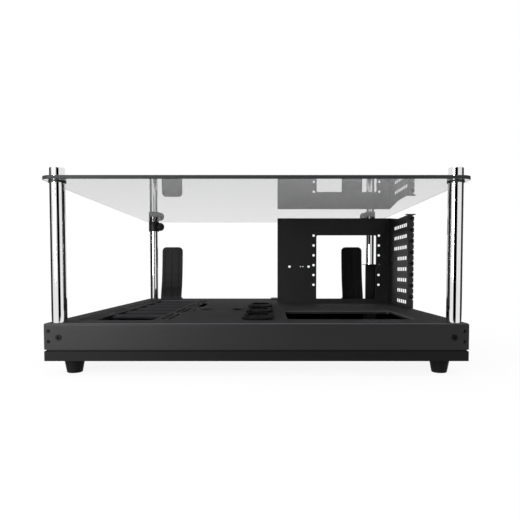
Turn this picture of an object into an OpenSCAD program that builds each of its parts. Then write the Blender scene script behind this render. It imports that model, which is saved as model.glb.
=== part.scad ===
// Open bench computer case: a flat steel base that carries the board, four
// chromed posts, a glass top, and an upright rack for vertical cards.
// X runs left to right, Y front to back and Z up. The origin is the middle
// of the footprint, at the height of the surface that the feet stand on.

/* [Base] */
// Width of the base
base_w = 565; // [525:1:605]
// Depth of the base
base_d = 590; // [560:1:640]
// Height of the upper band of the base
band_h = 35.4; // [30:0.2:60]
// Height of the lower band of the base
pan_h = 13.2; // [10:0.5:24]
// Height of the dark groove between the two bands
groove_h = 2; // [1:0.1:3]
// How far the groove is set back
groove_in = 2; // [1.5:0.1:4]
// Thickness of the steel sheet
sheet = 1.2; // [0.8:0.1:1.6]
// Outside radius of the bends along the edges of the deck
bend_r = 3; // [2:0.5:5]
// Outside radius of the upright corners of the base
corner_r = 1.4; // [1.3:0.1:4]

/* [Feet] */
// Height of each rubber foot
foot_h = 20.4; // [12:0.2:30]
// Diameter of a foot where it meets the base
foot_top_d = 28; // [20:1:34]
// Diameter of a foot where it stands
foot_low_d = 21; // [14:1:24]
// Distance of a foot's axis from the side of the base
foot_in_x = 29.5; // [24:0.5:34]
// Distance of a foot's axis from the front and the back of the base
foot_in_y = 30; // [22:1:34]

/* [Posts and glass] */
// Diameter of the chromed posts
post_d = 20; // [16:1:24]
// Distance of a post's axis from the side of the base
post_in_x = 16.5; // [15:0.1:20]
// Distance of a post's axis from the front and the back of the base
post_in_y = 12.8; // [12:0.2:20]
// Clear height between the deck and the glass
clear_h = 189.5; // [150:0.5:260]
// Thickness of the glass
glass_t = 5; // [4:0.5:8]
// How far the glass reaches past the base on every side
glass_out = 2.2; // [0:0.1:4]
// Corner radius of the glass
glass_r = 15; // [6:1:30]
// How far the posts stand above the glass
post_top = 12; // [8:0.5:30]
// Clearance round a post in the deck and in the glass
post_gap = 0.3; // [0.2:0.1:0.6]
// Height of the rubber rings under the glass at the front posts
ring_h = 3.2; // [2:0.2:6]
// Height of the clamp collars under the glass at the rear posts
collar_h = 24; // [16:1:34]
// Wall of the clamp collars
collar_wall = 2.2; // [1.6:0.2:5]
// Diameter of the thumb knobs
knob_d = 20; // [12:1:22]
// Length of the thumb knobs
knob_l = 12; // [8:1:18]
// Side of the square blocks that hold the posts inside the base
block_w = 34; // [30:1:40]

/* [Fan vent] */
// Distance of the vent's middle from the left side of the base
vent_in = 92.5; // [88:0.5:100]
// Width of the vent opening
vent_w = 84; // [60:1:88]
// Front edge of the vent, from the front of the base
vent_front = 42; // [40:1:70]
// Open gap in front of the first louvre
vent_gap = 70; // [40:1:80]
// Number of louvres
louvres = 6; // [3:1:6]
// Rear edge of the first louvre, from the front edge of the vent
louvre_first = 110; // [100:1:120]
// Spacing of the louvres
louvre_pitch = 70.4; // [50:0.2:74]
// How far the front edge of a louvre drops
louvre_drop = 5; // [3:0.5:10]
// Gap between two louvres
louvre_gap = 5; // [2:0.5:10]
// Spacing of the fans that the slot rails take
fan_pitch = 120; // [90:1:124]
// Length of one rail slot
rail_l = 100; // [60:1:108]
// Width of one rail slot
rail_w = 4.4; // [3:0.1:5]
// Screw spacing of the smaller fan size
fan_small = 105; // [102:0.5:108]
// Screw spacing of the larger fan size
fan_large = 124.5; // [122:0.5:128]

/* [Deck openings] */
// Distance of the cooler opening from the right side of the base
cooler_in = 56.5; // [50:0.5:60]
// Width of the cooler opening
cooler_w = 182; // [120:1:186]
// Front edge of the cooler opening, from the front of the base
cooler_front = 56; // [52:1:70]
// Depth of the cooler opening
cooler_d = 148; // [100:1:156]
// Height of the lip that is turned down round the cooler opening
lip_h = 5; // [3:0.5:8]
// Corner radius of the cooler opening
cooler_r = 8; // [4:0.5:16]
// Width of a cable grommet
grommet_w = 45; // [30:1:48]
// Length of a cable grommet
grommet_l = 106; // [70:1:110]
// Front edge of the first grommet, from the front of the base
grommet_front = 38; // [30:1:60]
// Spacing of the grommets
grommet_pitch = 122; // [114:1:130]
// Height of a grommet's rim above the deck
grommet_h = 3; // [1.5:0.1:4]

/* [Card rack] */
// Distance of the rack's panel from the back of the base
rack_back = 189; // [186:1:200]
// Left edge of the panel, from the middle of the base
rack_left = 35; // [30:1:40]
// Distance of the slot wall from the right side of the base
rack_in = 10.5; // [9:0.5:14]
// Height of the panel above the deck
rack_h = 180; // [178:1:186]
// Depth of the slot wall, from its flange to the panel
wall_d = 148; // [140:1:160]
// Spacing of the card slots
slot_pitch = 20.32; // [20.32:0.01:20.6]
// Height of the lowest card slot above the deck
slot_z = 11.6; // [11.4:0.1:14]
// Width of the panel's window
window_w = 126; // [80:1:128]
// Height of the panel's window
window_h = 135; // [100:1:140]
// Height of the window's sill above the deck
window_z = 9; // [6:0.5:20]
// Spacing of the two columns of screw holes
column_w = 138; // [136:0.5:140]
// Spacing of the screw holes in one column
column_pitch = 20.8; // [20:0.1:21.4]
// Diameter of the screw holes in the panel
column_hole_d = 5; // [3:0.1:5.4]
// Width of the slot wall's flange
flange_w = 9; // [7:0.5:9]

/* [Rear brackets] */
// Distance of each rear bracket's middle from the side of the base
stand_in = 61; // [58:0.5:70]
// Width of a rear bracket
stand_w = 50; // [34:1:52]
// Height of a rear bracket above the deck
stand_h = 127.5; // [90:0.5:150]
// Height of the power supply bracket above the deck
psu_h = 85; // [72:1:100]
// Depth of the power supply bracket's side
psu_d = 150; // [148:1:156]

/* [Hidden] */
$fn = 48;
SLOTS = 8;
SCREWS_PER_COLUMN = 6;
SLOT_NAMES = [for (i = [1:8]) str("slot_cover_", i)];

// Levels
pan_z = foot_h;
floor_z = pan_z + sheet;
groove_z = pan_z + pan_h;
band_z = groove_z + groove_h;
deck_z = band_z + band_h;
under_z = deck_z - sheet;
glass_z = deck_z + clear_h;
post_h = glass_z + glass_t + post_top - floor_z;

// Places
front_y = -base_d / 2;
rear_y = base_d / 2;
post_x = base_w / 2 - post_in_x;
post_y = base_d / 2 - post_in_y;
foot_x = base_w / 2 - foot_in_x;
foot_y = base_d / 2 - foot_in_y;
knob_seat = post_d / 2 + collar_wall + 1;
knob_z = glass_z - collar_h * 0.52;
knob_thread_d = 4;
knob_thread_l = 2.8;
collar_gap = 0.1;
collar_edge = 0.6;
collar_boss = 0.8;
block_in = groove_in + sheet + 0.4;
block_x = base_w / 2 - block_in - block_w / 2;
block_y = base_d / 2 - block_in - block_w / 2;
eps = 0.01;
hole_gap = 0.2;
pan_rim = 8;
pan_edge = 0.6;

// Vent
vent_cx = vent_in - base_w / 2;
vent_y0 = front_y + vent_front;
vent_l = louvre_first + (louvres - 1) * louvre_pitch;
vent_r = 2;
cheek_h = louvre_drop + 3;
cheek_flange = 7;
louvre_run = louvre_pitch - louvre_gap;
louvre_tilt = asin(louvre_drop / louvre_run);
notch_r = 4;
rails_per_side = 4;
rail_front = 10;

// Cooler opening
cooler_cx = base_w / 2 - cooler_in - cooler_w / 2;
cooler_cy = front_y + cooler_front + cooler_d / 2;
lip_r = 2.4;

// Board holes
board_in = 17.66;
board_back = 124;
board_x = base_w / 2 - board_in;
board_y = cooler_cy + cooler_d / 2 + board_back;
board_w = 227.33;
board_mid = 154.94;
board_d = 281.94;
board_row = 157.48;
board_hole_d = 3.3;

// Grommets
grommet_out = 37.5;
grommet_cx = board_x - board_w - grommet_out;
grommet_r = 20;
grommet_rim = 2.4;
grommet_neck = 4.6;
grommet_gap = 0.1;
grommet_under = 1.6;
skin_h = 1.2;
skin_drop = 0.2;
slit_line = 0.9;
slit_in = 11;

// Strip of the deck between the fan rails and the grommets
bay_x0 = vent_cx + (fan_large + rail_w) / 2;
bay_w = grommet_cx - grommet_w / 2 - bay_x0;
pass_at = 0.09;
pass_share = 0.12;
pass_back = 235;
pass_d = 108;
stud_at = 0.083;
stud_back = 378;
stud_d = 12;
stud_h = 2;
tie_slot_at = 0.529;
tie_slot_share = 0.408;
tie_slot_front = 184;
tie_slot_d = 4;
tie_at = [0.277, 0.83];
tie_narrow = [0.6, 1];
tie_front = 226;
tie_w = 17;
tie_d = 26;
tie_h = 3.4;
tie_wall = 2.2;

// Small deck features
slit_right = 31;
slit_front = 26;
slit_w = 64;
slit_d = 9;
riser_right = 90;
riser_front = 33;
riser_w = 102;
riser_d = 20;
riser_r = 3;
oval_right = 154;
oval_front = 83;
oval_d = 17;

// Rack
rack_right = base_w / 2 - rack_in;
panel_y = rear_y - rack_back;
flange_y = panel_y + sheet - wall_d;
wall_drop = 8.5;
wall_h = rack_h - wall_drop;
wall_slope = 72;
foot_flange = 12;
window_in = 28.5;
window_cx = rack_right - window_in - window_w / 2;
window_r = 3;
column_up = 91.5;
column_z = deck_z + column_up;
side_hole_up = 78;
side_hole_in = [10.5, 51];
side_pin_in = [22.5, 27.5];
side_pin_d = 2;
slot_open_w = 13;
slot_open_l = 106;
slot_open_in = 5;
top_tab_w = 17;
top_tab_d = 9;
top_tab_over = 3;
cover_l = 120;
cover_w = 18.4;
cover_t = 1;
cover_x = rack_right - sheet - hole_gap;
cover_tab = 8.6;
tongue_l = 10;
tongue_w = 10;
tongue_in = 1.4;
keeper_t = 1;
keeper_d = 4;
vent_hole_w = 6.6;
vent_hole_r = 1.6;
vent_long = 92;
vent_short = 66;
vent_start = 7;
vented_slots = 3;
rib_gap = 2;
rib_depth = 0.4;
card_screw_d = 6.4;
card_screw_in = 5.4;
card_screw_l = 5;
card_shank_d = 3;
notch_w = 2;
notch_d = 2.4;
rack_screw_left = [14, 110];
rack_screw_right = 16;

// Fasteners
corner_screw_in = 19.7;
corner_screw_down = 19;
rivet_in = 6.4;
rivet_down = [10.6, 24.6];
head_d = 6.4;
head_h = 2;
shank_d = 2.9;
shank_l = 5;
corner_screw_x = base_w / 2 - corner_screw_in;
corner_screw_z = deck_z - corner_screw_down;
corner_head_d = 8;
corner_head_h = 1;
corner_shank_d = 5;
corner_shank_l = 2.6;
corner_hole_l = 14;
rivet_x = base_w / 2 - rivet_in;
rivet_z = [for (d = rivet_down) deck_z - d];
rivet_d = 4.8;
rivet_bore_d = 1.8;
rivet_h = 0.5;
rivet_shank_d = 2.8;
post_screw_d = 6;
post_screw_l = 14;
foot_screw_d = 4;
foot_screw_grip = 8;
foot_recess = 8;

// Rear brackets
stand_x = base_w / 2 - stand_in;
stand_t = 3;
stand_r = 10;
stand_foot = 16;
stand_back = 5;
stand_lean = 24;
stand_y = rear_y - stand_back - stand_t - stand_lean;
stand_curve = [[0, 0], [0.02, 0.06], [0.17, 0.14], [0.38, 0.24], [0.55, 0.35], [0.72, 0.5],
               [0.87, 0.7], [1, 1]];
stand_screw_x = 12;
stand_screw_y = 11;
flute_w = 3;
flute_d = 1.4;
flute_step = 16.6;
flute_top = 9;
flute_low = 4;
pocket_w = 12;
pocket_h = 22;
psu_gap = 2;
psu_in = 3.5;
psu_y1 = post_y - post_d / 2 - psu_gap;
psu_x1 = base_w / 2 - psu_in;
psu_lip = 26;
psu_tab = 34;
psu_tab_d = 12;
psu_rim_y = 14;
psu_rim_z = 13;
psu_hole_d = 4;
psu_hole_y = [-69, 69, -69, 45];
psu_hole_down = [6, 6, 70, 80];
psu_foot_in = 4;
psu_screw_in = [16, 22];
clip_x = 30;
clip_w = 16;
clip_h = 3;
clip_d = 40;
clip_back = 30;
clip_r = 1.4;

// General shapes

// Flat rectangle with round corners, centred
module round_rect(w, d, r) {
    square([w - 2 * r, d], center = true);
    square([w, d - 2 * r], center = true);
    for (sx = [-1, 1])
        for (sy = [-1, 1])
            translate([sx * (w / 2 - r), sy * (d / 2 - r)])
                circle(r);
}

// Slot with round ends, its long side along Y, centred
module obround(w, l) {
    square([w, l - w], center = true);
    for (s = [-1, 1])
        translate([0, s * (l - w) / 2])
            circle(d = w);
}

// Upright outline whose two upper corners are round
module top_round(w, h, r) {
    translate([-w / 2, 0])
        square([w, h - r]);
    translate([-w / 2 + r, 0])
        square([w - 2 * r, h]);
    for (s = [-1, 1])
        translate([s * (w / 2 - r), h - r])
            circle(r);
}

// Box standing on z = 0, r round its upper edges and ru up its corners
module soft_box(w, d, h, r, ru) {
    intersection() {
        rotate([90, 0, 0])
            linear_extrude(d, center = true)
                top_round(w, h, r);
        rotate([90, 0, 90])
            linear_extrude(w, center = true)
                top_round(d, h, r);
        linear_extrude(h)
            round_rect(w, d, ru);
    }
}

// Carries a section round a rectangle with round corners. The section's X
// points away from the middle and its Y is the model's Z.
module round_frame(w, d, r) {
    for (s = [0, 180]) {
        rotate([0, 0, s])
            translate([w / 2, d / 2 - r, 0])
                rotate([90, 0, 0])
                    linear_extrude(d - 2 * r)
                        children();
        rotate([0, 0, s + 90])
            translate([d / 2, w / 2 - r, 0])
                rotate([90, 0, 0])
                    linear_extrude(w - 2 * r)
                        children();
    }
    for (q = [[1, 1, 0], [-1, 1, 90], [-1, -1, 180], [1, -1, 270]])
        translate([q[0] * (w / 2 - r), q[1] * (d / 2 - r), 0])
            rotate([0, 0, q[2]])
                rotate_extrude(angle = 90)
                    translate([r, 0])
                        children();
}

// Screw with a round head, its seat at z = 0 and its shank below
module screw(hd, hh, sd, sl) {
    difference() {
        union() {
            cylinder(d = hd, h = hh * 0.6);
            translate([0, 0, hh * 0.6])
                cylinder(d1 = hd, d2 = hd - hh * 0.8, h = hh * 0.4);
        }
        translate([0, 0, hh * 0.4])
            for (a = [0, 90])
                rotate([0, 0, a])
                    cube([hd * 0.6, hd * 0.14, hh * 2], center = true);
    }
    translate([0, 0, -sl])
        cylinder(d = sd, h = sl);
}

// The four corners of the base: X sign and Y sign
CORNERS = [[-1, -1], [1, -1], [-1, 1], [1, 1]];

// Base

// Bottom pan: a tray whose rim steps in and reaches up inside the upper band
module bottom_pan() {
    rim_w = base_w - 2 * groove_in;
    rim_d = base_d - 2 * groove_in;
    rim_h = groove_h + pan_rim;
    edge = pan_edge;
    color([0.12, 0.12, 0.125])
        difference() {
            union() {
                translate([0, 0, pan_z])
                    linear_extrude(pan_h - edge)
                        round_rect(base_w, base_d, corner_r);
                translate([0, 0, groove_z - edge])
                    linear_extrude(edge, scale = [1 - 2 * edge / base_w, 1 - 2 * edge / base_d])
                        round_rect(base_w, base_d, corner_r);
                translate([0, 0, groove_z - eps])
                    linear_extrude(rim_h + eps)
                        round_rect(rim_w, rim_d, corner_r);
            }
            translate([0, 0, floor_z])
                linear_extrude(pan_h - 2 * sheet - edge)
                    round_rect(base_w - 2 * sheet, base_d - 2 * sheet, corner_r - sheet);
            translate([0, 0, floor_z])
                linear_extrude(pan_h + rim_h)
                    round_rect(rim_w - 2 * sheet, rim_d - 2 * sheet, corner_r - sheet);
            for (c = CORNERS) {
                translate([c[0] * post_x, c[1] * post_y, floor_z])
                    cylinder(d = post_d + 2 * post_gap, h = pan_h + rim_h);
                translate([c[0] * post_x, c[1] * post_y, pan_z - 1])
                    cylinder(d = post_screw_d + 2 * hole_gap, h = sheet + 2);
                translate([c[0] * foot_x, c[1] * foot_y, pan_z - 1])
                    cylinder(d = foot_screw_d + 2 * hole_gap, h = sheet + 2);
            }
        }
}

// Holes for the fan screws: rows of slots on both sides of the vent
module fan_rails() {
    for (side = [-1, 1])
        for (span = [fan_small, fan_large])
            for (i = [0:rails_per_side - 1])
                translate([vent_cx + side * span / 2, vent_y0 + rail_front + rail_l / 2 + i * fan_pitch])
                    obround(rail_w, rail_l);
}

// Place across the strip between the rails and the grommets, from 0 to 1
function bay_x(f) = bay_x0 + f * bay_w;

// Every opening that goes through the deck, as seen from above
module deck_cuts() {
    translate([vent_cx, vent_y0 + vent_l / 2])
        round_rect(vent_w, vent_l, vent_r);
    translate([vent_cx, vent_y0])
        circle(notch_r);
    fan_rails();
    translate([cooler_cx, cooler_cy])
        round_rect(cooler_w + 2 * lip_r, cooler_d + 2 * lip_r, cooler_r + lip_r);
    for (i = [0:2])
        translate([grommet_cx, grommet_cy(i)])
            round_rect(grommet_w - 2 * grommet_rim, grommet_l - 2 * grommet_rim, grommet_r - grommet_rim);
    for (c = CORNERS)
        translate([c[0] * post_x, c[1] * post_y])
            circle(d = post_d + 2 * post_gap);
    translate([cooler_cx + slit_right, front_y + slit_front])
        rotate(90)
            obround(slit_d, slit_w);
    translate([rack_right - riser_right, panel_y - riser_front])
        round_rect(riser_w, riser_d, riser_r);
    translate([rack_right - oval_right, panel_y - oval_front])
        circle(d = oval_d);
    translate([bay_x(pass_at), rear_y - pass_back])
        obround(pass_share * bay_w, pass_d);
    translate([bay_x(tie_slot_at), front_y + tie_slot_front])
        rotate(90)
            obround(tie_slot_d, tie_slot_share * bay_w);
    for (f = tie_at)
        translate([bay_x(f), front_y + tie_front + tie_d / 2])
            square([tie_w, tie_d], center = true);
    board_holes();
    for (p = deck_screw_places)
        translate(p)
            circle(d = shank_d + 2 * hole_gap);
}

// Middle of grommet i along Y
function grommet_cy(i) = front_y + grommet_front + grommet_l / 2 + i * grommet_pitch;

// Screw holes for the board. The cooler opening takes the middle one.
module board_holes() {
    for (row = [0, board_row, board_d])
        for (col = [0, board_mid, board_w])
            if (!(row == board_row && col == board_mid))
                translate([board_x - col, board_y - row])
                    circle(d = board_hole_d);
}

// Lip of the cooler opening, rolled down from the deck
module lip_section() {
    translate([0, -lip_h])
        square([sheet, lip_h - lip_r]);
    translate([lip_r, -lip_r])
        intersection() {
            difference() {
                circle(lip_r);
                circle(lip_r - sheet);
            }
            translate([-lip_r, 0])
                square([lip_r, lip_r]);
        }
}

// Raised loop i that a cable tie goes through, open at its front and back
module tie_loop(i) {
    w_back = tie_w * tie_narrow[i];
    translate([bay_x(tie_at[i]), front_y + tie_front, under_z])
        difference() {
            linear_extrude(sheet + tie_h)
                polygon([[-tie_w / 2, 0], [tie_w / 2, 0], [w_back / 2, tie_d], [-w_back / 2, tie_d]]);
            translate([0, tie_d / 2, 0])
                cube([tie_w - 2 * tie_wall, tie_d + 2, 2 * tie_h], center = true);
        }
}

// Upper band and deck, folded from one sheet, with all its openings
module chassis_shell() {
    color([0.16, 0.16, 0.165]) {
        difference() {
            translate([0, 0, band_z])
                soft_box(base_w, base_d, band_h, bend_r, corner_r);
            translate([0, 0, band_z - 1])
                soft_box(base_w - 2 * sheet, base_d - 2 * sheet, band_h - sheet + 1,
                         bend_r - sheet, corner_r);
            translate([0, 0, under_z - 1])
                linear_extrude(sheet + 2)
                    deck_cuts();
            for (c = CORNERS) {
                translate([c[0] * corner_screw_x, c[1] * base_d / 2, corner_screw_z])
                    rotate([90, 0, 0])
                        cylinder(d = corner_shank_d + 2 * hole_gap, h = 3 * sheet, center = true);
                for (z = rivet_z)
                    translate([c[0] * rivet_x, c[1] * base_d / 2, z])
                        rotate([90, 0, 0])
                            cylinder(d = rivet_shank_d + hole_gap, h = 3 * sheet, center = true);
            }
        }
        translate([cooler_cx, cooler_cy, deck_z])
            round_frame(cooler_w, cooler_d, cooler_r)
                lip_section();
        tie_loop(0);
        tie_loop(1);
        translate([bay_x(stud_at), rear_y - stud_back, deck_z - eps])
            difference() {
                cylinder(d = stud_d, h = stud_h);
                translate([0, 0, -1])
                    cylinder(d = stud_d / 2, h = stud_h + 2);
            }
    }
}

// Louvred insert below the vent opening: two cheeks and the sloping louvres
module louvre_panel() {
    x0 = vent_w / 2 - 0.2;
    color([0.17, 0.17, 0.175])
        translate([vent_cx, vent_y0, under_z]) {
            for (s = [-1, 1]) {
                translate([s * (x0 - sheet / 2), vent_l / 2, -cheek_h / 2])
                    cube([sheet, vent_l, cheek_h], center = true);
                translate([s * (x0 - sheet + cheek_flange / 2), vent_l / 2, -sheet / 2])
                    cube([cheek_flange, vent_l, sheet], center = true);
            }
            translate([-x0, vent_l - sheet, -cheek_h])
                cube([2 * x0, sheet, cheek_h]);
            translate([-x0, 0, -cheek_h])
                cube([2 * x0, sheet, cheek_h]);
            for (i = [0:louvres - 1]) {
                run = i == 0 ? louvre_first - vent_gap : louvre_run;
                translate([0, louvre_first + i * louvre_pitch - sheet, 0])
                    rotate([louvre_tilt, 0, 0])
                        translate([-x0 + sheet / 2, -run, -sheet])
                            cube([2 * x0 - sheet, run, sheet]);
            }
        }
}

// Section of a grommet's rim: a groove for the sheet and a round top
module grommet_section() {
    mid = (grommet_rim - grommet_neck) / 2;
    half = (grommet_rim + grommet_neck) / 2;
    polygon(concat([[-grommet_neck, -sheet - grommet_under], [grommet_rim, -sheet - grommet_under],
                    [grommet_rim, -sheet], [-grommet_gap, -sheet], [-grommet_gap, 0], [grommet_rim, 0]],
                   [for (a = [0:20:180]) [mid + half * cos(a), grommet_h / 2 * (1 + sin(a))]]));
}

// Rubber grommet i: a rim that grips the sheet and a slit membrane
module grommet(i) {
    hole_w = grommet_w - 2 * grommet_rim;
    hole_l = grommet_l - 2 * grommet_rim;
    hole_r = grommet_r - grommet_rim;
    color([0.09, 0.09, 0.09])
        translate([grommet_cx, grommet_cy(i), deck_z]) {
            round_frame(hole_w, hole_l, hole_r)
                grommet_section();
            difference() {
                translate([0, 0, -skin_drop - skin_h])
                    linear_extrude(skin_h)
                        round_rect(hole_w - 2 * grommet_neck + 1, hole_l - 2 * grommet_neck + 1,
                                   hole_r - grommet_neck + 0.5);
                cube([slit_line, hole_l - 2 * slit_in, 4 * skin_h], center = true);
                for (k = [-2:2])
                    translate([0, k * (hole_l - 2 * slit_in) / 4, 0])
                        cube([hole_w - 2 * grommet_neck - 5, slit_line, 4 * skin_h], center = true);
            }
        }
}

// Rubber foot: a tapered round block with a recess for its screw
module foot(c) {
    color([0.05, 0.05, 0.05])
        translate([c[0] * foot_x, c[1] * foot_y, 0])
            rotate_extrude()
                polygon([[foot_screw_d / 2 + hole_gap, foot_recess], [foot_screw_d + 2, foot_recess],
                         [foot_screw_d + 2, 0],
                         [foot_low_d / 2 - 0.8, 0], [foot_low_d / 2, 0.8],
                         [foot_top_d / 2 - 0.2, foot_h - 1], [foot_top_d / 2 - 0.2, foot_h],
                         [foot_screw_d / 2 + hole_gap, foot_h]]);
}

// Screws that hold the feet, their heads up inside the recess
module foot_screws() {
    color("silver")
        for (c = CORNERS)
            translate([c[0] * foot_x, c[1] * foot_y, foot_recess])
                mirror([0, 0, 1])
                    screw(foot_screw_d * 1.9, 2.6, foot_screw_d, foot_h - foot_recess + sheet + foot_screw_grip);
}

// Block in a corner of the base that the deck lies on and a post goes through
module corner_block(c) {
    color([0.3, 0.3, 0.31])
        difference() {
            translate([c[0] * block_x, c[1] * block_y, floor_z])
                linear_extrude(under_z - floor_z)
                    round_rect(block_w, block_w, 2);
            translate([c[0] * post_x, c[1] * post_y, floor_z - 1])
                cylinder(d = post_d + 2 * hole_gap, h = band_h + pan_h + 2);
            translate([c[0] * corner_screw_x, c[1] * (base_d / 2 - sheet - 3), corner_screw_z])
                rotate([90, 0, 0])
                    cylinder(d = corner_shank_d + 2 * hole_gap, h = corner_hole_l, center = true);
            translate([c[0] * foot_x, c[1] * foot_y, floor_z - 1])
                cylinder(d = foot_screw_d + 2 * hole_gap, h = foot_screw_grip + 1.5);
        }
}

// Screws in the front and back of the band that lock the posts
module corner_screws() {
    color([0.08, 0.08, 0.08])
        for (c = CORNERS)
            translate([c[0] * corner_screw_x, c[1] * base_d / 2, corner_screw_z])
                rotate([-90 * c[1], 0, 0])
                    difference() {
                        union() {
                            cylinder(d = corner_head_d, h = corner_head_h);
                            translate([0, 0, -corner_shank_l])
                                cylinder(d = corner_shank_d, h = corner_shank_l + eps);
                        }
                        translate([0, 0, -1.6])
                            cylinder(d = corner_shank_d * 0.62, h = 4, $fn = 6);
                    }
}

// Flat rivets that close the corners of the band
module corner_rivets() {
    color([0.2, 0.2, 0.2])
        for (c = CORNERS)
            for (z = rivet_z)
                translate([c[0] * rivet_x, c[1] * base_d / 2, z])
                    rotate([-90 * c[1], 0, 0])
                        difference() {
                            union() {
                                cylinder(d1 = rivet_d, d2 = rivet_d * 0.7, h = rivet_h);
                                translate([0, 0, -sheet])
                                    cylinder(d = rivet_shank_d, h = sheet + eps);
                            }
                            translate([0, 0, -sheet / 2])
                                cylinder(d = rivet_bore_d, h = sheet + rivet_h);
                        }
}

// Posts, glass and clamps

// Chromed post, tapped at its foot
module post(c) {
    color([0.82, 0.82, 0.84])
        translate([c[0] * post_x, c[1] * post_y, floor_z])
            rotate_extrude()
                polygon([[0, post_screw_l + 2], [post_screw_d / 2 + hole_gap, post_screw_l],
                         [post_screw_d / 2 + hole_gap, 0],
                         [post_d / 2, 0], [post_d / 2, post_h - 0.8], [post_d / 2 - 0.8, post_h],
                         [0, post_h]]);
}

// Screws that hold the posts from below the pan
module post_screws() {
    color("silver")
        for (c = CORNERS)
            translate([c[0] * post_x, c[1] * post_y, pan_z])
                mirror([0, 0, 1])
                    screw(post_screw_d * 2, 1, post_screw_d, post_screw_l);
}

// Glass top with a hole for each post
module glass_top() {
    w = base_w + 2 * glass_out;
    d = base_d + 2 * glass_out;
    color([0.35, 0.38, 0.4, 0.45])
        translate([0, 0, glass_z])
            difference() {
                linear_extrude(glass_t)
                    round_rect(w, d, glass_r);
                for (c = CORNERS)
                    translate([c[0] * post_x, c[1] * post_y, -1])
                        cylinder(d = post_d + 2 * post_gap, h = glass_t + 2);
            }
}

// Rubber ring that the glass lies on at a front post
module glass_ring(c) {
    color([0.04, 0.04, 0.04])
        translate([c[0] * post_x, c[1] * post_y, glass_z - ring_h])
            rotate_extrude()
                polygon([[post_d / 2 + 0.1, 0], [post_d / 2 + 1, 0], [post_d / 2 + 1.4, 0.4],
                         [post_d / 2 + 1.4, ring_h - 0.4], [post_d / 2 + 1, ring_h],
                         [post_d / 2 + 0.1, ring_h]]);
}

// Clamp collar that carries the glass at a rear post
module clamp_collar(c) {
    outer = post_d / 2 + collar_wall;
    inner = post_d / 2 + collar_gap;
    color([0.06, 0.06, 0.06])
        translate([c[0] * post_x, c[1] * post_y, 0])
            difference() {
                union() {
                    translate([0, 0, glass_z - collar_h])
                        rotate_extrude()
                            polygon([[inner, 0], [outer - collar_edge, 0], [outer, collar_edge],
                                     [outer, collar_h - collar_edge], [outer - collar_edge, collar_h],
                                     [inner, collar_h]]);
                    translate([-c[0] * (outer - 1), 0, knob_z])
                        rotate([0, -90 * c[0], 0])
                            cylinder(d = knob_d * 0.7, h = collar_boss + 1);
                }
                translate([-c[0] * (inner - 1), 0, knob_z])
                    rotate([0, -90 * c[0], 0])
                        cylinder(d = knob_thread_d + hole_gap, h = collar_wall + collar_boss + 2);
                translate([0, 0, glass_z - collar_h - 1])
                    cylinder(r = inner, h = collar_h + 2);
            }
}

// Domed thumb knob that tightens a collar, its threaded end in the collar's wall
module collar_knob(c) {
    dome = knob_l * 0.7;
    color([0.08, 0.08, 0.08])
        translate([c[0] * (post_x - knob_seat), c[1] * post_y, knob_z])
            rotate([0, -90 * c[0], 0])
                rotate_extrude() {
                    translate([0, -knob_thread_l])
                        square([knob_thread_d / 2, knob_thread_l + 1]);
                    square([knob_d / 2, knob_l - dome]);
                    translate([0, knob_l - dome])
                        intersection() {
                            scale([knob_d / 2 / dome, 1])
                                circle(dome);
                            square([knob_d, knob_l]);
                        }
                }
}

// Card rack

// Height of the middle of slot i, where 1 is the highest
function slot_cz(i) = deck_z + slot_z + (SLOTS - i) * slot_pitch;

// Panel's screw holes, its window and its small holes, as seen from the front
module panel_cuts() {
    translate([window_cx, deck_z + window_z + window_h / 2])
        round_rect(window_w, window_h, window_r);
    for (s = [-1, 1])
        for (i = [0:SCREWS_PER_COLUMN - 1])
            translate([window_cx + s * column_w / 2,
                       column_z + (i - (SCREWS_PER_COLUMN - 1) / 2) * column_pitch])
                circle(d = column_hole_d);
    for (x = side_hole_in)
        translate([window_cx - column_w / 2 - x, deck_z + side_hole_up])
            circle(d = column_hole_d);
    for (x = side_pin_in)
        translate([window_cx - column_w / 2 - x, deck_z + side_hole_up])
            circle(d = side_pin_d);
}

// Side view of the slot wall, from the flange at the left to the panel
module wall_outline() {
    polygon([[flange_y, deck_z], [panel_y + sheet, deck_z], [panel_y + sheet, deck_z + rack_h],
             [panel_y, deck_z + rack_h], [panel_y - wall_slope, deck_z + wall_h],
             [flange_y, deck_z + wall_h]]);
}

// Panel, slot wall and flange, folded from one sheet
module card_rack() {
    color([0.13, 0.13, 0.14]) {
        translate([0, panel_y + sheet, 0])
            rotate([90, 0, 0])
                linear_extrude(sheet)
                    difference() {
                        translate([rack_left, deck_z])
                            square([rack_right - rack_left, rack_h]);
                        panel_cuts();
                    }
        translate([rack_right - sheet, 0, 0])
            rotate([90, 0, 90])
                linear_extrude(sheet)
                    difference() {
                        wall_outline();
                        for (i = [1:SLOTS])
                            translate([flange_y + slot_open_in + slot_open_l / 2, slot_cz(i)])
                                round_rect(slot_open_l, slot_open_w, 1);
                    }
        for (i = [1:SLOTS])
            translate([cover_x - cover_t - keeper_t, flange_y + cover_l - 6, slot_cz(i) - tongue_w / 2])
                tongue_keeper();
        rack_flange();
        translate([rack_left, panel_y + sheet - eps, deck_z])
            difference() {
                cube([rack_right - rack_left, foot_flange, sheet]);
                for (x = rack_screw_x)
                    translate([x - rack_left, foot_flange / 2, -1])
                        cylinder(d = shank_d + 2 * hole_gap, h = sheet + 2);
            }
    }
}

// Loop on the slot wall that keeps a cover's tongue
module tongue_keeper() {
    reach = keeper_t + cover_t + hole_gap;
    difference() {
        cube([reach + eps, keeper_d, tongue_w]);
        translate([keeper_t, -1, keeper_t])
            cube([reach, keeper_d + 2, tongue_w - 2 * keeper_t]);
    }
}

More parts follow.
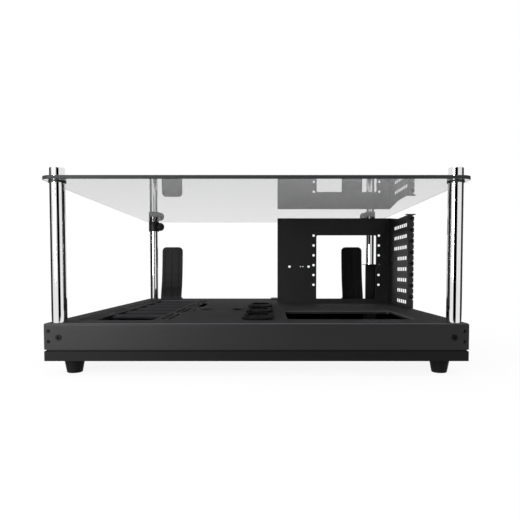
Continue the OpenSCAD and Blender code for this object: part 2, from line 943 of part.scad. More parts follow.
// Flange at the front of the slot wall: notched edge, and a tab over its top
module rack_flange() {
    difference() {
        translate([rack_right - sheet, flange_y, deck_z])
            cube([flange_w + sheet, sheet, wall_h]);
        for (i = [1:SLOTS]) {
            translate([rack_right + card_screw_in, flange_y, slot_cz(i) + slot_pitch / 2])
                rotate([90, 0, 0])
                    cylinder(d = card_shank_d + 2 * hole_gap, h = 4, center = true);
            for (s = [-1, 1])
                translate([rack_right + flange_w - notch_d, flange_y - 1,
                           slot_cz(i) + slot_pitch / 2 + s * slot_pitch / 4 - notch_w / 2])
                    cube([notch_d + 1, sheet + 2, notch_w]);
        }
    }
    translate([rack_right + flange_w + top_tab_over - top_tab_w, flange_y, deck_z + wall_h - eps])
        cube([top_tab_w, top_tab_d, sheet]);
}

// Slot cover i: vented plate, tongue at its far end and tab on the flange
module slot_cover(i) {
    y0 = flange_y - hole_gap;
    hole_l = i <= vented_slots ? vent_long : vent_short;
    color([0.2, 0.2, 0.21]) {
        difference() {
            translate([cover_x - cover_t, y0 - cover_t, slot_cz(i) - cover_w / 2])
                cube([cover_t, cover_l - tongue_l + 2, cover_w]);
            translate([cover_x - cover_t - 1, y0 + vent_start, slot_cz(i)])
                rotate([90, 0, 90])
                    linear_extrude(cover_t + 2)
                        translate([hole_l / 2, 0])
                            round_rect(hole_l, vent_hole_w, vent_hole_r);
            if (i > vented_slots)
                translate([cover_x - cover_t - rib_depth, y0 + vent_start + vent_short + rib_gap,
                           slot_cz(i) - vent_hole_w / 2])
                    cube([2 * rib_depth, vent_long - vent_short - rib_gap, vent_hole_w]);
        }
        translate([cover_x - cover_t, y0 + cover_l - tongue_l, slot_cz(i) - tongue_w / 2 + tongue_in])
            cube([cover_t, tongue_l, tongue_w - 2 * tongue_in]);
        difference() {
            translate([cover_x - cover_t, y0 - cover_t, slot_cz(i) - cover_w / 2])
                cube([cover_tab + cover_t, cover_t, cover_w]);
            for (s = [-1, 1])
                translate([rack_right + card_screw_in, y0, slot_cz(i) + s * slot_pitch / 2])
                    rotate([90, 0, 0])
                        cylinder(d = card_shank_d + 2, h = 4, center = true);
        }
    }
}

// Screws on the flange that hold the covers
module slot_screws() {
    color([0.5, 0.5, 0.52])
        for (i = [1:SLOTS])
            translate([rack_right + card_screw_in, flange_y - hole_gap - cover_t, slot_cz(i) + slot_pitch / 2])
                rotate([90, 0, 0])
                    screw(card_screw_d, head_h, card_shank_d, card_screw_l);
}

// Screws in the rack's foot flange
rack_screw_x = [rack_left + rack_screw_left[0], rack_left + rack_screw_left[1],
                rack_right - rack_screw_right];
rack_screw_y = panel_y + sheet + foot_flange / 2;

module rack_screws() {
    color([0.1, 0.1, 0.1])
        for (x = rack_screw_x)
            translate([x, rack_screw_y, deck_z + sheet])
                screw(head_d, head_h, shank_d, shank_l);
}

// Rear brackets

// Point k of the line that a rear bracket's front follows, moved back by off
function stand_at(k, off) = [stand_curve[k][0] * stand_lean + off, stand_curve[k][1] * stand_h];

// Side view of a rear bracket: a foot and a plate that leans back as it rises
module stand_profile() {
    last = len(stand_curve) - 1;
    polygon(concat([for (k = [0:last]) stand_at(k, 0)],
                   [for (k = [last:-1:1]) stand_at(k, stand_t)],
                   [[stand_t, stand_t], [stand_foot + stand_t, stand_t], [stand_foot + stand_t, 0]]));
}

// Cutter of width w that sinks into the front of a rear bracket, from z0 to z1
module stand_sink(w, z0, z1) {
    last = len(stand_curve) - 1;
    intersection() {
        rotate([90, 0, 90])
            linear_extrude(w, center = true)
                polygon(concat([for (k = [0:last]) stand_at(k, flute_d)],
                               [[-1, stand_h], [-1, 0]]));
        translate([-w, -stand_lean, z0])
            cube([2 * w, 3 * stand_lean, z1 - z0]);
    }
}

// Rear bracket on side s: fluted plate with round upper corners
module rear_bracket(s) {
    color([0.1, 0.1, 0.105])
        translate([s * stand_x, stand_y, deck_z])
            difference() {
                intersection() {
                    rotate([90, 0, 90])
                        linear_extrude(stand_w, center = true)
                            stand_profile();
                    translate([0, 2 * stand_lean, 0])
                        rotate([90, 0, 0])
                            linear_extrude(3 * stand_lean)
                                top_round(stand_w, stand_h, stand_r);
                }
                for (k = [-1, 0, 1])
                    translate([k * flute_step, 0, 0])
                        stand_sink(flute_w, flute_low, stand_h - flute_top);
                for (k = [-1, 1])
                    translate([k * flute_step / 2, 0, 0])
                        stand_sink(pocket_w, flute_low, flute_low + pocket_h);
                for (p = [-1, 1])
                    translate([p * stand_screw_x, stand_screw_y, -1])
                        cylinder(d = shank_d + 2 * hole_gap, h = stand_t + 2);
            }
}

// Places of the screws in the rear brackets' feet
stand_screws = [for (s = [-1, 1])
                    for (p = [-1, 1])
                        [s * stand_x + p * stand_screw_x, stand_y + stand_screw_y]];

module rear_bracket_screws() {
    color([0.1, 0.1, 0.1])
        for (p = stand_screws)
            translate([p[0], p[1], deck_z + stand_t])
                screw(head_d, head_h, shank_d, shank_l + 1);
}

// Bracket for the power supply: side plate with its opening, rear lip and tab
module psu_bracket() {
    y0 = psu_y1 - psu_d;
    cy = y0 + psu_d / 2;
    color([0.11, 0.11, 0.115]) {
        difference() {
            translate([psu_x1 - sheet, y0, deck_z])
                cube([sheet, psu_d, psu_h]);
            translate([psu_x1 - sheet / 2, cy, deck_z + psu_h / 2])
                rotate([90, 0, 90])
                    linear_extrude(sheet * 3, center = true)
                        round_rect(psu_d - 2 * psu_rim_y, psu_h - 2 * psu_rim_z, 4);
            for (p = psu_holes)
                translate([psu_x1 - sheet / 2, cy + p[0], deck_z + p[1]])
                    rotate([0, 90, 0])
                        cylinder(d = psu_hole_d, h = sheet * 3, center = true);
        }
        translate([psu_x1 - psu_lip, psu_y1 - sheet, deck_z])
            cube([psu_lip, sheet, psu_h]);
        translate([psu_x1 - psu_tab, psu_y1 - psu_tab_d, deck_z + psu_h - sheet])
            cube([psu_tab, psu_tab_d, sheet]);
        translate([psu_x1 - foot_flange, y0 + psu_foot_in, deck_z])
            difference() {
                cube([foot_flange - eps, psu_d - 2 * psu_foot_in, sheet]);
                for (y = psu_screw_y)
                    translate([foot_flange / 2, y - y0 - psu_foot_in, -1])
                        cylinder(d = shank_d + 2 * hole_gap, h = sheet + 2);
            }
    }
}

// Holes of the power supply's face, from the middle of the plate and the deck
psu_holes = [for (i = [0:3]) [psu_hole_y[i], psu_h - psu_hole_down[i]]];
psu_screw_y = [psu_y1 - psu_d + psu_screw_in[0], psu_y1 - psu_screw_in[1]];

module psu_bracket_screws() {
    color([0.1, 0.1, 0.1])
        for (y = psu_screw_y)
            translate([psu_x1 - foot_flange / 2, y, deck_z + sheet])
                screw(head_d, head_h, shank_d, shank_l);
}

// Every screw that goes through the deck
deck_screw_places = concat([for (x = rack_screw_x) [x, rack_screw_y]],
                           stand_screws,
                           [for (y = psu_screw_y) [psu_x1 - foot_flange / 2, y]]);

// Low cable saddle at the back edge of the deck
module cable_clip() {
    color([0.07, 0.07, 0.07])
        translate([clip_x, rear_y - clip_back, deck_z])
            rotate([90, 0, 0])
                linear_extrude(clip_d, center = true)
                    top_round(clip_w, clip_h, clip_r);
}

bottom_pan();
chassis_shell();
louvre_panel();
grommet(0);  // grommet_front
grommet(1);  // grommet_middle
grommet(2);  // grommet_rear
card_rack();
for (i = [1:SLOTS])
    slot_cover(i);
slot_screws();
rack_screws();
post(CORNERS[0]);  // post_front_left
post(CORNERS[1]);  // post_front_right
post(CORNERS[2]);  // post_rear_left
post(CORNERS[3]);  // post_rear_right
glass_top();
glass_ring(CORNERS[0]);  // glass_ring_left
glass_ring(CORNERS[1]);  // glass_ring_right
clamp_collar(CORNERS[2]);  // clamp_collar_left
clamp_collar(CORNERS[3]);  // clamp_collar_right
collar_knob(CORNERS[2]);  // collar_knob_left
collar_knob(CORNERS[3]);  // collar_knob_right
corner_block(CORNERS[0]);  // corner_block_front_left
corner_block(CORNERS[1]);  // corner_block_front_right
corner_block(CORNERS[2]);  // corner_block_rear_left
corner_block(CORNERS[3]);  // corner_block_rear_right
foot(CORNERS[0]);  // foot_front_left
foot(CORNERS[1]);  // foot_front_right
foot(CORNERS[2]);  // foot_rear_left
foot(CORNERS[3]);  // foot_rear_right
rear_bracket(-1);  // rear_bracket_left
rear_bracket(1);  // rear_bracket_right
rear_bracket_screws();
psu_bracket();
psu_bracket_screws();
corner_screws();
corner_rivets();
post_screws();
foot_screws();
cable_clip();
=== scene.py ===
"""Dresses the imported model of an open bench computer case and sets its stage."""

import math

import bmesh
import bpy
from bpy.props import FloatProperty, FloatVectorProperty, IntProperty, PointerProperty
from mathutils import Matrix, Vector


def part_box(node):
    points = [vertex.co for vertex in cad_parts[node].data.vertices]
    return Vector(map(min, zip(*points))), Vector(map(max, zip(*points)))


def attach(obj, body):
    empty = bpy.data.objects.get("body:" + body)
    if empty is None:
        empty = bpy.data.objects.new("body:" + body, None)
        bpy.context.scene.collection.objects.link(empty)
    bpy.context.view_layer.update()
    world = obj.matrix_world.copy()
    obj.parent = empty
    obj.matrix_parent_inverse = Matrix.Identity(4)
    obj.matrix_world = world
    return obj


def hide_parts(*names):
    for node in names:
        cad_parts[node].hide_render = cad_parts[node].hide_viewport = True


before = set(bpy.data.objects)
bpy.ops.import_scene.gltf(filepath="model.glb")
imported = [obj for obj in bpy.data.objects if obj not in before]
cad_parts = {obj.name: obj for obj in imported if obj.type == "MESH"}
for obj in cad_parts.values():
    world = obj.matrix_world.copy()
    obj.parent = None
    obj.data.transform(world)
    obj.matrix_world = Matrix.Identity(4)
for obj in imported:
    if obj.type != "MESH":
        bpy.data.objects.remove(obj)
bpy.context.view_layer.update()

bl_info = {
    "name": "Bench Case",
    "version": (1, 0, 0),
    "blender": (4, 5, 0),
    "location": "View3D > Sidebar > Bench Case",
    "description": "Finishes an open bench computer case and sets its stage",
    "category": "Object",
}

DECK_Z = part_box("card_rack")[0].z
BODY = "root"

# Nodes that share a finish

CORNERS = ("front_left", "front_right", "rear_left", "rear_right")
DULL_NODES = ("bottom_pan", "psu_bracket", "rear_bracket_left", "rear_bracket_right")
COVER_NODES = [f"slot_cover_{i}" for i in range(1, 9)]
SCREW_NODES = ("slot_screws", "rack_screws", "rear_bracket_screws", "psu_bracket_screws",
               "corner_screws", "corner_rivets", "post_screws", "foot_screws")

# Meshes: merging distance in metres, smoothing limit in degrees, steps of a rounded edge

MERGE = 1e-6
SMOOTH_ANGLE = 35
EDGE_STEPS = 4

# Slot covers, in metres: the upper ones have the long vent, given as length and cells

LONG_VENTS = 3
LONG_VENT = (0.092, 7)
SHORT_VENT = (0.066, 5)
VENT_START = 0.008
VENT_BAR = (0.0008, 0.0018, 0.0066)
VENT_BAR_INSET = 0.0005

# Turned pieces, in metres, and the straight share of a knob's length

POST_EDGE = 0.0008
RING_WALL = 0.0013
RING_EDGE = 0.0005
KNOB_EDGE = 0.0005
KNOB_STRAIGHT = 0.36
FOOT_TAPER = 0.0033
FOOT_LOW_EDGE = 0.0016
FOOT_LOW_STEPS = 5
FOOT_TOP_EDGE = 0.001
FOOT_HOLE = 0.0022
FOOT_RECESS = 0.006
FOOT_RECESS_DEPTH = 0.008

# Glass: segments of its corner and arris, and what tells its edges and its sides

CORNER_SEGMENTS = 12
ARRIS_SEGMENTS = 2
UPRIGHT_RISE = 0.001
RIM_ANGLE = 1.0
SIDE_NORMAL = 0.9

# Finishes: shades as factors of a colour, and reach of the roughness round its middle

COAT_SHADES = (0.9, 1.12)
COAT_REACH = (-0.05, 0.07)
LOUVRE_REACH = (-0.05, 0.05)
SKIN_SHADES = (0.8, 1.25)
SKIN_REACH = (-0.06, 0.08)
PLATE_SHADES = (0.95, 1)
GLASS_SHADES = (0.985, 1)

# Powder coat: heights in metres, and stops of a ramp as place and level or factor

CLOUD = 0.06
SPECK_DETAIL = 3.0
COAT_BUMP = 0.12
COAT_BUMP_SHARE = 0.15
COAT_SPECULAR = 0.28
DULL_SPECULAR = 0.13
LOUVRE_SPECULAR = 0.1
# Painted highlight: the lighter colour on the deck's rolled edge, as a factor of the steel colour
EDGE_HIGHLIGHT_FACTOR = 9
DULL_FACTOR = 0.6
COVER_FACTOR = 1.5
FACES_UP = (0.5, 0.95)
# Painted highlight on the deck's rolled edge: heights round the deck, and ramp stops as place and share of
# the lighter colour
HIGHLIGHT_BELOW_DECK = 0.002
HIGHLIGHT_ABOVE_DECK = 0.004
HIGHLIGHT_STOPS = ((0, 0), (0.07, 0), (0.2, 1), (0.30, 1), (0.325, 0), (0.36, 0), (0.45, 0.8),
             (0.6, 0.15), (1, 0.15))
# Painted shade and light along each louvre: stops as share of the pitch and factor of the steel colour,
# dark where it drops below the next, light towards its rear
LOUVRE_LIGHT_AND_SHADE = ((0.5, 0.35), (0.72, 5.5))

# Most of the noise lies in this range

NOISE_RANGE = (0.3, 0.7)

# Colour sockets of the Mix node

MIX_A, MIX_B, MIX_RESULT = 6, 7, 2

# Stage: lamps as place, target and size, boards as name, place, size, turn and material

LAMP_LEFT = ((-0.8, -1.25, 0.4), (-0.25, -0.3, 0.05), (0.35, 0.6))
LAMP_TOP = ((0.2, -0.2, 2.0), (0, 0, 0.1), (1.8, 1.8))
BOARD_COLOURS = {"board_black": (0.0, 0.0, 0.0), "board_grey": (0.03, 0.03, 0.03)}
BOARDS = (
    ("board_camera", (0.1, -0.98, 0.16), (0.55, 0.72), 0, "board_black"),
    ("board_left", (-0.9, 0.23, 0.21), (1.34, 0.5), math.pi / 2, "board_grey"),
    ("board_right", (0.9, 0.23, 0.21), (1.34, 0.5), math.pi / 2, "board_grey"),
)
FLOOR_REACH = 12
FLOOR_COLOUR = (0.9, 0.9, 0.9)
FLOOR_FADE = (0.35, 0.7)


# Sizes and colours that a user would change


class CaseFinish(bpy.types.PropertyGroup):
    """Colours and gloss of the case's finishes"""

    steel: FloatVectorProperty(
        name="Steel coat", description="Colour of the powder coat on the sheet metal",
        subtype="COLOR", size=3, min=0, max=1, default=(0.0052, 0.0052, 0.0059))
    steel_rough: FloatProperty(
        name="Steel roughness", description="How dull the powder coat is",
        subtype="FACTOR", min=0, max=1, default=0.5)
    deck_rough: FloatProperty(
        name="Deck roughness", description="How dull the coat is on the louvres and on faces that look up",
        subtype="FACTOR", min=0, max=1, default=0.95)
    rubber: FloatVectorProperty(
        name="Rubber", description="Colour of the feet, rings and grommets",
        subtype="COLOR", size=3, min=0, max=1, default=(0.006, 0.006, 0.006))
    plastic: FloatVectorProperty(
        name="Plastic", description="Colour of the collars, knobs and clip",
        subtype="COLOR", size=3, min=0, max=1, default=(0.012, 0.012, 0.012))
    glass: FloatVectorProperty(
        name="Glass tint", description="Grey that the glass lets through",
        subtype="COLOR", size=3, min=0, max=1, default=(0.5, 0.502, 0.506))
    chrome: FloatVectorProperty(
        name="Chrome", description="Colour of the posts",
        subtype="COLOR", size=3, min=0, max=1, default=(0.80, 0.80, 0.80))
    grain: FloatProperty(
        name="Coat grain", description="Size of the powder coat's grain",
        unit="LENGTH", min=0.0001, max=0.005, default=0.0006)


class CaseStage(bpy.types.PropertyGroup):
    """Camera, lamps and floor"""

    lens: FloatProperty(
        name="Lens", description="Focal length on a 36 mm sensor, in millimetres",
        min=10, max=200, default=34.615)
    camera_place: FloatVectorProperty(
        name="Camera place", description="Where the camera stands",
        subtype="TRANSLATION", unit="LENGTH", size=3, default=(0.0158, -0.9551, 0.1408))
    camera_dip: FloatProperty(
        name="Camera dip", description="How far the camera looks down",
        subtype="ANGLE", default=math.radians(2.34))
    camera_shift: FloatVectorProperty(
        name="Camera shift", description="Shift of the picture, in widths",
        size=2, default=(-0.01615, 0.05948))
    lamp_left: FloatProperty(
        name="Left lamp", description="Power of the soft lamp on the left, in watts",
        min=0, max=200, default=18.0)
    lamp_top: FloatProperty(
        name="Top lamp", description="Power of the soft lamp overhead, in watts",
        min=0, max=200, default=8.0)
    fill: FloatProperty(
        name="Fill", description="Strength of the world's light on matt surfaces",
        min=0, max=2, default=0.75)
    floor_shade: FloatProperty(
        name="Floor shade", description="How much of the floor's shadow shows",
        subtype="FACTOR", min=0, max=1, default=0.1)


class CaseDetail(bpy.types.PropertyGroup):
    """Sizes of the turned, rounded and louvred pieces"""

    turns: IntProperty(
        name="Turned facets", description="Facets round a turned piece",
        min=16, max=256, default=96)
    arris: FloatProperty(
        name="Glass arris", description="Width of the ground edge of the glass",
        unit="LENGTH", min=0.0002, max=0.002, default=0.0007)
    louvre_pitch: FloatProperty(
        name="Louvre pitch", description="Spacing of the louvres",
        unit="LENGTH", min=0.05, max=0.1, default=0.0704)
    glass_corner: FloatProperty(
        name="Glass corner", description="Corner radius of the glass",
        unit="LENGTH", min=0.005, max=0.03, default=0.015)


# Material helpers


def new_material(name):
    """A material with a bare shader, and its tree and shader."""
    material = bpy.data.materials.new(name)
    material.use_nodes = True
    tree = material.node_tree
    return material, tree, tree.nodes["Principled BSDF"]


def add(tree, kind, **values):
    """A node of that kind with its fields and inputs set."""
    node = tree.nodes.new(kind)
    for key, value in values.items():
        if key in node.inputs:
            node.inputs[key].default_value = value
        else:
            setattr(node, key, value)
    return node


def object_axis(tree, axis):
    """Object coordinate along one axis."""
    coordinates = add(tree, "ShaderNodeTexCoord")
    split = add(tree, "ShaderNodeSeparateXYZ")
    tree.links.new(coordinates.outputs["Object"], split.inputs[0])
    return split.outputs[axis]


def object_noise(tree, size, detail=2.0, stretch=(1, 1, 1)):
    """Noise on Object coordinates whose cells are about size metres wide."""
    coordinates = add(tree, "ShaderNodeTexCoord")
    mapping = add(tree, "ShaderNodeMapping", Scale=stretch)
    noise = add(tree, "ShaderNodeTexNoise", Scale=1 / size, Detail=detail, Roughness=0.55)
    tree.links.new(coordinates.outputs["Object"], mapping.inputs["Vector"])
    tree.links.new(mapping.outputs["Vector"], noise.inputs["Vector"])
    return noise.outputs["Fac"]


def remap(tree, value, source, target, clamp=True):
    """A value brought from the source range to the target range."""
    node = add(tree, "ShaderNodeMapRange", clamp=clamp)
    for key, number in zip(("From Min", "From Max", "To Min", "To Max"), (*source, *target)):
        node.inputs[key].default_value = number
    tree.links.new(value, node.inputs["Value"])
    return node.outputs["Result"]


def spread(tree, noise, low, high):
    """A value led by noise, between low and high."""
    return remap(tree, noise, NOISE_RANGE, (low, high))


def ramp(tree, value, stops):
    """A colour from a ramp whose stops are a place and a colour each."""
    node = add(tree, "ShaderNodeValToRGB")
    elements = node.color_ramp.elements
    for element, (place, colour) in zip((elements[0], elements[1]), (stops[0], stops[-1])):
        element.position = place
        element.color = (*colour, 1)
    for place, colour in stops[1:-1]:
        elements.new(place).color = (*colour, 1)
    tree.links.new(value, node.inputs["Fac"])
    return node.outputs["Color"]


def tint(tree, noise, dark, light):
    """A colour led by noise, between dark and light."""
    return ramp(tree, noise, tuple(zip(NOISE_RANGE, (dark, light))))


def mottled(tree, noise, colour, shades):
    """A colour led by noise, between two shades of itself."""
    return tint(tree, noise, *(scaled(colour, shade) for shade in shades))


def uneven(tree, noise, middle, reach):
    """A value led by noise, that reaches to both sides of a middle."""
    return spread(tree, noise, middle + reach[0], middle + reach[1])


def bump(tree, shader, height, strength, distance):
    """Bump from a height value."""
    node = add(tree, "ShaderNodeBump", Strength=strength, Distance=distance)
    tree.links.new(height, node.inputs["Height"])
    tree.links.new(node.outputs["Normal"], shader.inputs["Normal"])


def scaled(colour, factor):
    """A colour made darker or lighter."""
    return tuple(min(1.0, c * factor) for c in colour)


def direct_rays(tree):
    """1 for rays from the camera, from a gloss or through glass, and 0 for the others."""
    path = add(tree, "ShaderNodeLightPath")
    direct = path.outputs["Is Camera Ray"]
    for kind in ("Is Glossy Ray", "Is Transmission Ray"):
        either = add(tree, "ShaderNodeMath", operation="MAXIMUM")
        tree.links.new(direct, either.inputs[0])
        tree.links.new(path.outputs[kind], either.inputs[1])
        direct = either.outputs[0]
    return direct


# Materials


def painted_edge_highlight(tree, colour, edge_highlight):
    """Paints a highlight as a lighter coat on the rolled edge of the deck and on what stands above it."""
    heights = (DECK_Z - HIGHLIGHT_BELOW_DECK, DECK_Z + HIGHLIGHT_ABOVE_DECK)
    height = remap(tree, object_axis(tree, "Z"), heights, (0, 1))
    painted_highlight = ramp(tree, height, [(place, (level, level, level)) for place, level in HIGHLIGHT_STOPS])
    mix = add(tree, "ShaderNodeMix", data_type="RGBA")
    tree.links.new(painted_highlight, mix.inputs["Factor"])
    tree.links.new(colour, mix.inputs[MIX_A])
    mix.inputs[MIX_B].default_value = (*edge_highlight, 1)
    return mix.outputs[MIX_RESULT]


def powder_coat(name, finish, factor, specular, edge_highlight=None):
    """Fine textured powder coat on steel, duller on the faces that look up, with a painted highlight on
    the deck's rolled edge when one is given.
    """
    material, tree, shader = new_material(name)
    colour, rough = scaled(finish.steel, factor), finish.steel_rough
    cloud = object_noise(tree, CLOUD)
    speck = object_noise(tree, finish.grain, SPECK_DETAIL)
    coat = mottled(tree, cloud, colour, COAT_SHADES)
    # A painted highlight, when given, lightens the coat on the deck's rolled edge and above it
    if edge_highlight:
        coat = painted_edge_highlight(tree, coat, edge_highlight)
    tree.links.new(coat, shader.inputs["Base Color"])
    surface = add(tree, "ShaderNodeNewGeometry")
    split = add(tree, "ShaderNodeSeparateXYZ")
    tree.links.new(surface.outputs["True Normal"], split.inputs[0])
    upward = remap(tree, split.outputs["Z"], FACES_UP, (0, finish.deck_rough - rough))
    level = add(tree, "ShaderNodeMath", operation="ADD")
    tree.links.new(upward, level.inputs[0])
    tree.links.new(uneven(tree, speck, rough, COAT_REACH), level.inputs[1])
    tree.links.new(level.outputs[0], shader.inputs["Roughness"])
    shader.inputs["Specular IOR Level"].default_value = specular
    bump(tree, shader, speck, COAT_BUMP, finish.grain * COAT_BUMP_SHARE)
    return material


def louvre_coat(name, finish, pitch):
    """Powder coat on the louvres, with painted shade where each one drops below the next and painted light
    on the rest of each blade.
    """
    material, tree, shader = new_material(name)
    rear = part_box("louvre_panel")[1].y
    run = remap(tree, object_axis(tree, "Y"), (rear, rear + pitch), (0, 1), clamp=False)
    share = add(tree, "ShaderNodeMath", operation="FRACT")
    tree.links.new(run, share.inputs[0])
    # Painted shade on the low part of each louvre and painted light on its rear part
    stops = [(place, scaled(finish.steel, factor)) for place, factor in LOUVRE_LIGHT_AND_SHADE]
    tree.links.new(ramp(tree, share.outputs[0], stops), shader.inputs["Base Color"])
    speck = object_noise(tree, finish.grain, SPECK_DETAIL)
    roughness = uneven(tree, speck, finish.deck_rough, LOUVRE_REACH)
    tree.links.new(roughness, shader.inputs["Roughness"])
    shader.inputs["Specular IOR Level"].default_value = LOUVRE_SPECULAR
    bump(tree, shader, speck, COAT_BUMP, finish.grain * COAT_BUMP_SHARE)
    return material


def moulded(name, colour, rough, grain, specular):
    """Moulded rubber or plastic with a fine skin."""
    material, tree, shader = new_material(name)
    skin = object_noise(tree, grain, detail=4.0)
    tree.links.new(mottled(tree, skin, colour, SKIN_SHADES), shader.inputs["Base Color"])
    tree.links.new(uneven(tree, skin, rough, SKIN_REACH), shader.inputs["Roughness"])
    shader.inputs["Specular IOR Level"].default_value = specular
    bump(tree, shader, skin, strength=0.2, distance=grain * 0.2)
    return material


def plated(name, colour, low, high, streak):
    """Plating with faint drawn streaks along Z, between a low and a high roughness."""
    material, tree, shader = new_material(name)
    streaks = object_noise(tree, streak, stretch=(1, 1, 0.01))
    cloud = object_noise(tree, size=0.05)
    tree.links.new(mottled(tree, cloud, colour, PLATE_SHADES), shader.inputs["Base Color"])
    tree.links.new(spread(tree, streaks, low, high), shader.inputs["Roughness"])
    shader.inputs["Metallic"].default_value = 1.0
    bump(tree, shader, streaks, strength=0.03, distance=streak * 0.05)
    return material


def tinted_glass(name, colour):
    """Grey glass, faintly uneven."""
    material, tree, shader = new_material(name)
    cloud = object_noise(tree, size=0.15)
    tree.links.new(mottled(tree, cloud, colour, GLASS_SHADES), shader.inputs["Base Color"])
    shader.inputs["Roughness"].default_value = 0.0
    shader.inputs["Transmission Weight"].default_value = 1.0
    shader.inputs["IOR"].default_value = 1.5
    return material


def ground_edge(name):
    """Dark ground edge of the glass."""
    material, tree, shader = new_material(name)
    streaks = object_noise(tree, 0.004, stretch=(1, 1, 12))
    shade = tint(tree, streaks, (0.010, 0.011, 0.012), (0.022, 0.024, 0.026))
    tree.links.new(shade, shader.inputs["Base Color"])
    tree.links.new(spread(tree, streaks, 0.45, 0.6), shader.inputs["Roughness"])
    shader.inputs["Specular IOR Level"].default_value = 0.15
    return material


def flat_board(name, colour):
    """Flat dark board."""
    material, _, shader = new_material(name)
    shader.inputs["Base Color"].default_value = (*colour, 1)
    shader.inputs["Roughness"].default_value = 1.0
    shader.inputs["Specular IOR Level"].default_value = 0.0
    return material


def dress(node, material):
    """Gives a carried-over node its material."""
    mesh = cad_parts[node].data
    mesh.materials.clear()
    mesh.materials.append(material)


# Mesh helpers


def new_object(name, bm, materials):
    """An object in the scene, made from a bmesh that is used up."""
    mesh = bpy.data.meshes.new(name)
    bm.to_mesh(mesh)
    bm.free()
    for material in materials:
        mesh.materials.append(material)
    made = bpy.data.objects.new(name, mesh)
    bpy.context.scene.collection.objects.link(made)
    return made


def finish_piece(name, bm, materials, nodes, smooth_angle=SMOOTH_ANGLE):
    """Makes a piece that stands for nodes, and smooths it unless the angle is 0."""
    piece = new_object(name, bm, materials)
    if smooth_angle:
        piece.data.shade_smooth()
        piece.data.set_sharp_from_angle(angle=math.radians(smooth_angle))
    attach(piece, BODY)
    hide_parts(*nodes)


def standing(node):
    """Foot of a standing round node's axis, its radius, bottom and top."""
    low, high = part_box(node)
    middle = (low + high) / 2
    return Vector((middle.x, middle.y, 0)), (high.x - low.x) / 2, low.z, high.z


def lathe(profile, turns, place, axis="Z"):
    """Spins a closed section of (radius, height) points about an axis through place."""
    bm = bmesh.new()
    ring = [bm.verts.new((r, 0, z)) for r, z in profile]
    edges = [bm.edges.new((ring[i], ring[(i + 1) % len(ring)])) for i in range(len(ring))]
    bmesh.ops.spin(bm, geom=ring + edges, cent=(0, 0, 0), axis=(0, 0, 1), angle=2 * math.pi,
                   steps=turns, use_merge=True)
    bmesh.ops.remove_doubles(bm, verts=bm.verts, dist=MERGE)
    turn = {"Z": Matrix.Identity(3), "X": Matrix.Rotation(math.pi / 2, 3, "Y"),
            "-X": Matrix.Rotation(-math.pi / 2, 3, "Y")}[axis]
    bmesh.ops.transform(bm, matrix=Matrix.Translation(place) @ turn.to_4x4(), verts=bm.verts)
    bmesh.ops.recalc_face_normals(bm, faces=bm.faces)
    return bm


def arc(cx, cz, radius, start, end, steps=EDGE_STEPS):
    """Points on an arc, from start to end in degrees."""
    return [(cx + radius * math.cos(math.radians(start + (end - start) * k / steps)),
             cz + radius * math.sin(math.radians(start + (end - start) * k / steps)))
            for k in range(steps + 1)]


def post_profile(radius, low, high):
    """Section of a post, with a ring below its round end that keeps the side's normals level."""
    profile = [(0, low), (radius, low), (radius, high - 2 * POST_EDGE)]
    profile += arc(radius - POST_EDGE, high - POST_EDGE, POST_EDGE, 0, 90)
    return profile + [(0, high)]


def ring_profile(radius, low, high):
    """Section of a ring whose outer edges are rounded."""
    inner = radius - RING_WALL
    profile = [(inner, low)] + arc(radius - RING_EDGE, low + RING_EDGE, RING_EDGE, -90, 0)
    return profile + arc(radius - RING_EDGE, high - RING_EDGE, RING_EDGE, 0, 90) + [(inner, high)]


def knob_profile(radius, length):
    """Section of a knob with a straight side and a domed end."""
    straight = length * KNOB_STRAIGHT
    dome = [(radius * math.cos(math.radians(a)),
             straight + (length - straight) * math.sin(math.radians(a)))
            for a in range(10, 90, 10)]
    side = [(0, 0), (radius - KNOB_EDGE, 0), (radius, KNOB_EDGE), (radius, straight)]
    return side + dome + [(0, length)]


def foot_profile(radius, high):
    """Section of a tapered foot with a recess for its screw."""
    profile = [(FOOT_HOLE, FOOT_RECESS_DEPTH), (FOOT_RECESS, FOOT_RECESS_DEPTH), (FOOT_RECESS, 0)]
    profile += arc(radius - FOOT_TAPER - FOOT_LOW_EDGE, FOOT_LOW_EDGE, FOOT_LOW_EDGE, -90, 0,
                   FOOT_LOW_STEPS)
    profile += arc(radius - FOOT_TOP_EDGE, high - FOOT_TOP_EDGE, FOOT_TOP_EDGE, 0, 90)
    return profile + [(FOOT_HOLE, high)]


class CASE_OT_sheet_metal(bpy.types.Operator):
    """Powder coat on the base, the louvres, the rack and the brackets"""

    bl_idname = "case.sheet_metal"
    bl_label = "Sheet metal"

    def execute(self, context):
        finish = context.scene.case_finish
        pitch = context.scene.case_detail.louvre_pitch
        dull_coat = powder_coat("dull_powder_coat", finish, DULL_FACTOR, DULL_SPECULAR)
        for node in DULL_NODES:
            dress(node, dull_coat)
        # Painted highlight for the deck's rolled edge: a lighter copy of the steel colour
        edge_highlight = scaled(finish.steel, EDGE_HIGHLIGHT_FACTOR)
        dress("card_rack", powder_coat("steel_powder_coat", finish, 1, COAT_SPECULAR))
        dress("chassis_shell", powder_coat("base_powder_coat", finish, 1, COAT_SPECULAR, edge_highlight))
        dress("louvre_panel", louvre_coat("louvre_powder_coat", finish, pitch))
        return {"FINISHED"}


